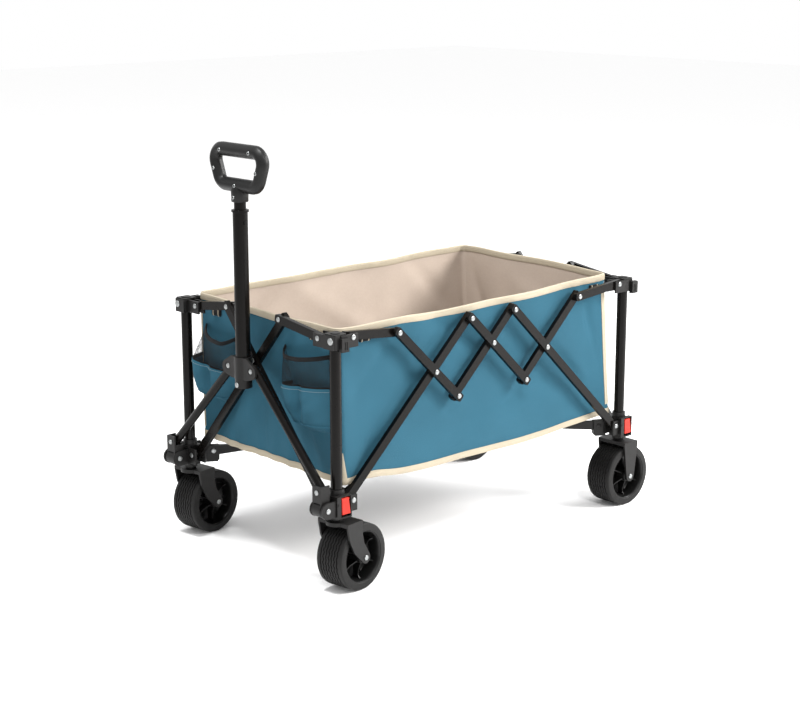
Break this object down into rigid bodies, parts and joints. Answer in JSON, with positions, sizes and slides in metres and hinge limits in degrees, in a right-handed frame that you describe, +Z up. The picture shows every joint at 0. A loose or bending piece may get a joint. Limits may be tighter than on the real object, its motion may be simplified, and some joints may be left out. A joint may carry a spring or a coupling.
{
  "type": "folding beach cart",
  "caption": "Folding beach cart with a fabric bag on a four-way scissor frame, caster wheels in front, fixed wheels behind and a telescoping pull handle",
  "frame": {"origin": "on the ground, midway between the four corner posts", "axes": "+X toward the rear, away from the handle; +Y toward the right side; +Z up"},
  "size_m": [1.009, 0.5923, 0.902],
  "materials": {
    "black_steel": "satin black powder coat",
    "black_plastic": "satin black nylon",
    "grip_plastic": "matte black",
    "red_plastic": "semi-gloss red",
    "wheel_rubber": "black with fine tread",
    "button_steel": "dark plated steel",
    "teal_fabric": "woven polyester",
    "lining_fabric": "beige lining over a stiff board"
  },
  "bodies": {
    "corner_fl": {"post_fl": "black_steel", "top_bracket_fl": "black_plastic", "bottom_bracket_fl": "black_plastic", "bag": "teal_fabric"},
    "corner_fr": {"post_fr": "black_steel", "top_bracket_fr": "black_plastic", "bottom_bracket_fr": "black_plastic"},
    "corner_rl": {"post_rl": "black_steel", "top_bracket_rl": "black_plastic", "bottom_bracket_rl": "black_plastic", "rear_fork_rl": "black_plastic"},
    "corner_rr": {"post_rr": "black_steel", "top_bracket_rr": "black_plastic", "bottom_bracket_rr": "black_plastic", "rear_fork_rr": "black_plastic"},
    "left_long_front": {"left_long_front": "black_steel"},
    "left_short_front": {"left_short_front": "black_steel"},
    "left_mid_front": {"left_mid_front": "black_steel"},
    "left_short_rear": {"left_short_rear": "black_steel"},
    "left_mid_rear": {"left_mid_rear": "black_steel"},
    "left_long_rear": {"left_long_rear": "black_steel"},
    "left_link_front": {"left_link_front": "black_steel"},
    "left_link_rear": {"left_link_rear": "black_steel"},
    "front_bar_outer": {"front_bar_outer": "black_steel"},
    "front_bar_inner": {"front_bar_inner": "black_steel"},
    "front_link_left": {"front_link_left": "black_steel"},
    "front_link_right": {"front_link_right": "black_steel"},
    "right_long_front": {"right_long_front": "black_steel"},
    "right_short_front": {"right_short_front": "black_steel"},
    "right_mid_front": {"right_mid_front": "black_steel"},
    "right_short_rear": {"right_short_rear": "black_steel"},
    "right_mid_rear": {"right_mid_rear": "black_steel"},
    "right_long_rear": {"right_long_rear": "black_steel"},
    "right_link_front": {"right_link_front": "black_steel"},
    "right_link_rear": {"right_link_rear": "black_steel"},
    "rear_bar_outer": {"rear_bar_outer": "black_steel"},
    "rear_bar_inner": {"rear_bar_inner": "black_steel"},
    "rear_link_left": {"rear_link_left": "black_steel"},
    "rear_link_right": {"rear_link_right": "black_steel"},
    "lever_fl": {"lever_fl": "red_plastic"},
    "lever_fr": {"lever_fr": "red_plastic"},
    "lever_rl": {"lever_rl": "red_plastic"},
    "lever_rr": {"lever_rr": "red_plastic"},
    "caster_fl": {"caster_fork_fl": "black_plastic"},
    "wheel_fl": {"wheel_fl": "wheel_rubber"},
    "caster_fr": {"caster_fork_fr": "black_plastic"},
    "wheel_fr": {"wheel_fr": "wheel_rubber"},
    "wheel_rl": {"wheel_rl": "wheel_rubber"},
    "wheel_rr": {"wheel_rr": "wheel_rubber"},
    "foot_left": {"handle_foot_left": "black_plastic"},
    "foot_right": {"handle_foot_right": "black_plastic"},
    "yoke_left": {"handle_yoke_left": "black_steel"},
    "yoke_right": {"handle_yoke_right": "black_steel"},
    "pole": {"handle_hub": "black_plastic", "handle_outer_tube": "black_steel"},
    "grip": {"handle_inner_tube": "black_steel", "handle_grip": "grip_plastic"},
    "button": {"handle_button": "button_steel"},
    "floor_left": {"floor_board_left": "lining_fabric"},
    "floor_right": {"floor_board_right": "lining_fabric"}
  },
  "joints": [
    {"name": "fold", "type": "hinge", "parent": "corner_fl", "child": "left_long_front", "pos_m": [-0.41, -0.25, 0.195], "axis": [0, -1, 0], "range_deg": [0, 33.42], "deforming": ["bag", "floor_board_left", "floor_board_right"]},
    {"name": "left_short_front_pivot", "type": "hinge", "parent": "left_long_front", "child": "left_short_front", "pos_m": [-0.17168, -0.25, 0.42181], "axis": [0, 1, 0], "range_deg": [0, 67.13]},
    {"name": "left_mid_front_pivot", "type": "hinge", "parent": "left_short_front", "child": "left_mid_front", "pos_m": [-0.10504, -0.25, 0.35839], "axis": [0, -1, 0], "range_deg": [0, 67.13]},
    {"name": "left_long_rear_pivot", "type": "hinge", "parent": "left_mid_front", "child": "left_long_rear", "pos_m": [0.06664, -0.25, 0.52177], "axis": [0, 1, 0], "range_deg": [0, 67.13]},
    {"name": "left_short_rear_pivot", "type": "hinge", "parent": "left_long_front", "child": "left_short_rear", "pos_m": [-0.06664, -0.25, 0.52177], "axis": [0, 1, 0], "range_deg": [0, 67.13]},
    {"name": "left_mid_rear_pivot", "type": "hinge", "parent": "left_short_rear", "child": "left_mid_rear", "pos_m": [0.10504, -0.25, 0.35839], "axis": [0, -1, 0], "range_deg": [0, 67.13]},
    {"name": "left_rear_corner_pivot", "type": "hinge", "parent": "left_long_rear", "child": "corner_rl", "pos_m": [0.41, -0.25, 0.195], "axis": [0, -1, 0], "range_deg": [0, 33.72]},
    {"name": "left_link_front_pivot", "type": "hinge", "parent": "corner_fl", "child": "left_link_front", "pos_m": [-0.408, -0.25, 0.534], "axis": [0, -1, 0], "range_deg": [0, 77.84]},
    {"name": "left_link_rear_pivot", "type": "hinge", "parent": "corner_rl", "child": "left_link_rear", "pos_m": [0.408, -0.25, 0.534], "axis": [0, 1, 0], "range_deg": [0, 77.84]},
    {"name": "front_bar_outer_pivot", "type": "hinge", "parent": "corner_fl", "child": "front_bar_outer", "pos_m": [-0.44, -0.22, 0.193], "axis": [1, 0, 0], "range_deg": [0, 30.9]},
    {"name": "front_bar_inner_pivot", "type": "hinge", "parent": "front_bar_outer", "child": "front_bar_inner", "pos_m": [-0.44, 0, 0.44696], "axis": [-1, 0, 0], "range_deg": [0, 61.5]},
    {"name": "front_corner_pivot", "type": "hinge", "parent": "front_bar_inner", "child": "corner_fr", "pos_m": [-0.44, 0.22, 0.193], "axis": [1, 0, 0], "range_deg": [0, 30.9]},
    {"name": "front_link_left_pivot", "type": "hinge", "parent": "corner_fl", "child": "front_link_left", "pos_m": [-0.44, -0.217, 0.531], "axis": [1, 0, 0], "range_deg": [0, 67.8]},
    {"name": "front_link_right_pivot", "type": "hinge", "parent": "corner_fr", "child": "front_link_right", "pos_m": [-0.44, 0.207, 0.531], "axis": [-1, 0, 0], "range_deg": [0, 71.55]},
    {"name": "right_long_front_pivot", "type": "hinge", "parent": "corner_fr", "child": "right_long_front", "pos_m": [-0.41, 0.25, 0.195], "axis": [0, -1, 0], "range_deg": [0, 33.72]},
    {"name": "right_short_front_pivot", "type": "hinge", "parent": "right_long_front", "child": "right_short_front", "pos_m": [-0.17168, 0.25, 0.42181], "axis": [0, 1, 0], "range_deg": [0, 67.13]},
    {"name": "right_mid_front_pivot", "type": "hinge", "parent": "right_short_front", "child": "right_mid_front", "pos_m": [-0.10504, 0.25, 0.35839], "axis": [0, -1, 0], "range_deg": [0, 67.13]},
    {"name": "right_long_rear_pivot", "type": "hinge", "parent": "right_mid_front", "child": "right_long_rear", "pos_m": [0.06664, 0.25, 0.52177], "axis": [0, 1, 0], "range_deg": [0, 67.13]},
    {"name": "right_short_rear_pivot", "type": "hinge", "parent": "right_long_front", "child": "right_short_rear", "pos_m": [-0.06664, 0.25, 0.52177], "axis": [0, 1, 0], "range_deg": [0, 67.13]},
    {"name": "right_mid_rear_pivot", "type": "hinge", "parent": "right_short_rear", "child": "right_mid_rear", "pos_m": [0.10504, 0.25, 0.35839], "axis": [0, -1, 0], "range_deg": [0, 67.13]},
    {"name": "right_rear_corner_pivot", "type": "hinge", "parent": "right_long_rear", "child": "corner_rr", "pos_m": [0.41, 0.25, 0.195], "axis": [0, -1, 0], "range_deg": [0, 33.72]},
    {"name": "right_link_front_pivot", "type": "hinge", "parent": "corner_fr", "child": "right_link_front", "pos_m": [-0.408, 0.25, 0.534], "axis": [0, -1, 0], "range_deg": [0, 77.84]},
    {"name": "right_link_rear_pivot", "type": "hinge", "parent": "corner_rr", "child": "right_link_rear", "pos_m": [0.408, 0.25, 0.534], "axis": [0, 1, 0], "range_deg": [0, 77.84]},
    {"name": "rear_bar_outer_pivot", "type": "hinge", "parent": "corner_rl", "child": "rear_bar_outer", "pos_m": [0.44, -0.22, 0.193], "axis": [1, 0, 0], "range_deg": [0, 30.9]},
    {"name": "rear_bar_inner_pivot", "type": "hinge", "parent": "rear_bar_outer", "child": "rear_bar_inner", "pos_m": [0.44, 0, 0.44696], "axis": [-1, 0, 0], "range_deg": [0, 61.5]},
    {"name": "rear_link_left_pivot", "type": "hinge", "parent": "corner_rl", "child": "rear_link_left", "pos_m": [0.44, -0.217, 0.531], "axis": [1, 0, 0], "range_deg": [0, 67.8]},
    {"name": "rear_link_right_pivot", "type": "hinge", "parent": "corner_rr", "child": "rear_link_right", "pos_m": [0.44, 0.207, 0.531], "axis": [-1, 0, 0], "range_deg": [0, 71.55]},
    {"name": "lever_fl_rock", "type": "hinge", "parent": "corner_fl", "child": "lever_fl", "pos_m": [-0.44, -0.27, 0.2035], "axis": [1, 0, 0], "range_deg": [0, 5], "stiffness_Nm_per_rad": 0.05, "springref_deg": -5.73},
    {"name": "lever_fr_rock", "type": "hinge", "parent": "corner_fr", "child": "lever_fr", "pos_m": [-0.44, 0.27, 0.2035], "axis": [-1, 0, 0], "range_deg": [0, 5], "stiffness_Nm_per_rad": 0.05, "springref_deg": -5.73},
    {"name": "lever_rl_rock", "type": "hinge", "parent": "corner_rl", "child": "lever_rl", "pos_m": [0.44, -0.27, 0.2035], "axis": [1, 0, 0], "range_deg": [0, 5], "stiffness_Nm_per_rad": 0.05, "springref_deg": -5.73},
    {"name": "lever_rr_rock", "type": "hinge", "parent": "corner_rr", "child": "lever_rr", "pos_m": [0.44, 0.27, 0.2035], "axis": [-1, 0, 0], "range_deg": [0, 5], "stiffness_Nm_per_rad": 0.05, "springref_deg": -5.73},
    {"name": "caster_fl_swivel", "type": "hinge", "parent": "corner_fl", "child": "caster_fl", "pos_m": [-0.44, -0.25, 0.15], "axis": [0, 0, 1], "continuous": true},
    {"name": "wheel_fl_spin", "type": "hinge", "parent": "caster_fl", "child": "wheel_fl", "pos_m": [-0.39643, -0.24388, 0.071], "axis": [-0.1392, 0.9903, 0], "continuous": true},
    {"name": "caster_fr_swivel", "type": "hinge", "parent": "corner_fr", "child": "caster_fr", "pos_m": [-0.44, 0.25, 0.15], "axis": [0, 0, 1], "continuous": true},
    {"name": "wheel_fr_spin", "type": "hinge", "parent": "caster_fr", "child": "wheel_fr", "pos_m": [-0.39643, 0.25612, 0.071], "axis": [-0.1392, 0.9903, 0], "continuous": true},
    {"name": "wheel_rl_spin", "type": "hinge", "parent": "corner_rl", "child": "wheel_rl", "pos_m": [0.44, -0.25, 0.071], "axis": [0, 1, 0], "continuous": true},
    {"name": "wheel_rr_spin", "type": "hinge", "parent": "corner_rr", "child": "wheel_rr", "pos_m": [0.44, 0.25, 0.071], "axis": [0, 1, 0], "continuous": true},
    {"name": "handle_tilt", "type": "hinge", "parent": "corner_fl", "child": "foot_left", "pos_m": [-0.481, -0.25, 0.187], "axis": [0, -1, 0], "range_deg": [0, 90]},
    {"name": "yoke_left_pivot", "type": "hinge", "parent": "foot_left", "child": "yoke_left", "pos_m": [-0.489, -0.25, 0.224], "axis": [1, 0, 0], "range_deg": [0, 35.41]},
    {"name": "pole_pivot", "type": "hinge", "parent": "yoke_left", "child": "pole", "pos_m": [-0.489, -0.038, 0.435], "axis": [-1, 0, 0], "range_deg": [0, 35.41]},
    {"name": "yoke_right_pivot", "type": "hinge", "parent": "pole", "child": "yoke_right", "pos_m": [-0.489, 0.038, 0.435], "axis": [-1, 0, 0], "range_deg": [0, 35.41]},
    {"name": "foot_right_pivot", "type": "hinge", "parent": "yoke_right", "child": "foot_right", "pos_m": [-0.489, 0.25, 0.224], "axis": [1, 0, 0], "range_deg": [0, 35.41]},
    {"name": "handle_extend", "type": "slide", "parent": "pole", "child": "grip", "axis": [0, 0, 1], "range_m": [0, 0.32]},
    {"name": "handle_button_press", "type": "slide", "parent": "pole", "child": "button", "axis": [0, 1, 0], "range_m": [0, 0.0024], "stiffness_N_per_m": 200, "springref_m": -0.002},
    {"name": "floor_left_hinge", "type": "hinge", "parent": "corner_fl", "child": "floor_left", "pos_m": [-0.009, -0.227, 0.2157], "axis": [1, 0, 0], "range_deg": [0, 80.3]},
    {"name": "floor_right_hinge", "type": "hinge", "parent": "corner_fr", "child": "floor_right", "pos_m": [-0.009, 0.227, 0.2157], "axis": [-1, 0, 0], "range_deg": [0, 80.3]}
  ],
  "couplings": [
    {"joint": "left_short_front_pivot", "follows": "fold", "ratio": 2},
    {"joint": "left_mid_front_pivot", "follows": "fold", "ratio": 2},
    {"joint": "left_long_rear_pivot", "follows": "fold", "ratio": 2},
    {"joint": "left_short_rear_pivot", "follows": "fold", "ratio": 2},
    {"joint": "left_mid_rear_pivot", "follows": "fold", "ratio": 2},
    {"joint": "left_rear_corner_pivot", "follows": "fold", "ratio": 1},
    {"joint": "left_link_front_pivot", "follows": "fold", "ratio": 2.3204},
    {"joint": "left_link_rear_pivot", "follows": "fold", "ratio": 2.3204},
    {"joint": "front_bar_outer_pivot", "follows": "fold", "ratio": 0.91574},
    {"joint": "front_bar_inner_pivot", "follows": "fold", "ratio": 1.8315},
    {"joint": "front_corner_pivot", "follows": "fold", "ratio": 0.91574},
    {"joint": "front_link_left_pivot", "follows": "fold", "ratio": 2.0198},
    {"joint": "front_link_right_pivot", "follows": "fold", "ratio": 2.1321},
    {"joint": "right_long_front_pivot", "follows": "fold", "ratio": 1},
    {"joint": "right_short_front_pivot", "follows": "fold", "ratio": 2},
    {"joint": "right_mid_front_pivot", "follows": "fold", "ratio": 2},
    {"joint": "right_long_rear_pivot", "follows": "fold", "ratio": 2},
    {"joint": "right_short_rear_pivot", "follows": "fold", "ratio": 2},
    {"joint": "right_mid_rear_pivot", "follows": "fold", "ratio": 2},
    {"joint": "right_rear_corner_pivot", "follows": "fold", "ratio": 1},
    {"joint": "right_link_front_pivot", "follows": "fold", "ratio": 2.3204},
    {"joint": "right_link_rear_pivot", "follows": "fold", "ratio": 2.3204},
    {"joint": "rear_bar_outer_pivot", "follows": "fold", "ratio": 0.91574},
    {"joint": "rear_bar_inner_pivot", "follows": "fold", "ratio": 1.8315},
    {"joint": "rear_link_left_pivot", "follows": "fold", "ratio": 2.0198},
    {"joint": "rear_link_right_pivot", "follows": "fold", "ratio": 2.1321},
    {"joint": "yoke_left_pivot", "follows": "fold", "ratio": 1.0506},
    {"joint": "pole_pivot", "follows": "fold", "ratio": 1.0506},
    {"joint": "yoke_right_pivot", "follows": "fold", "ratio": 1.0506},
    {"joint": "foot_right_pivot", "follows": "fold", "ratio": 1.0506},
    {"joint": "floor_left_hinge", "follows": "fold", "ratio": 2.394},
    {"joint": "floor_right_hinge", "follows": "fold", "ratio": 2.394}
  ]
}
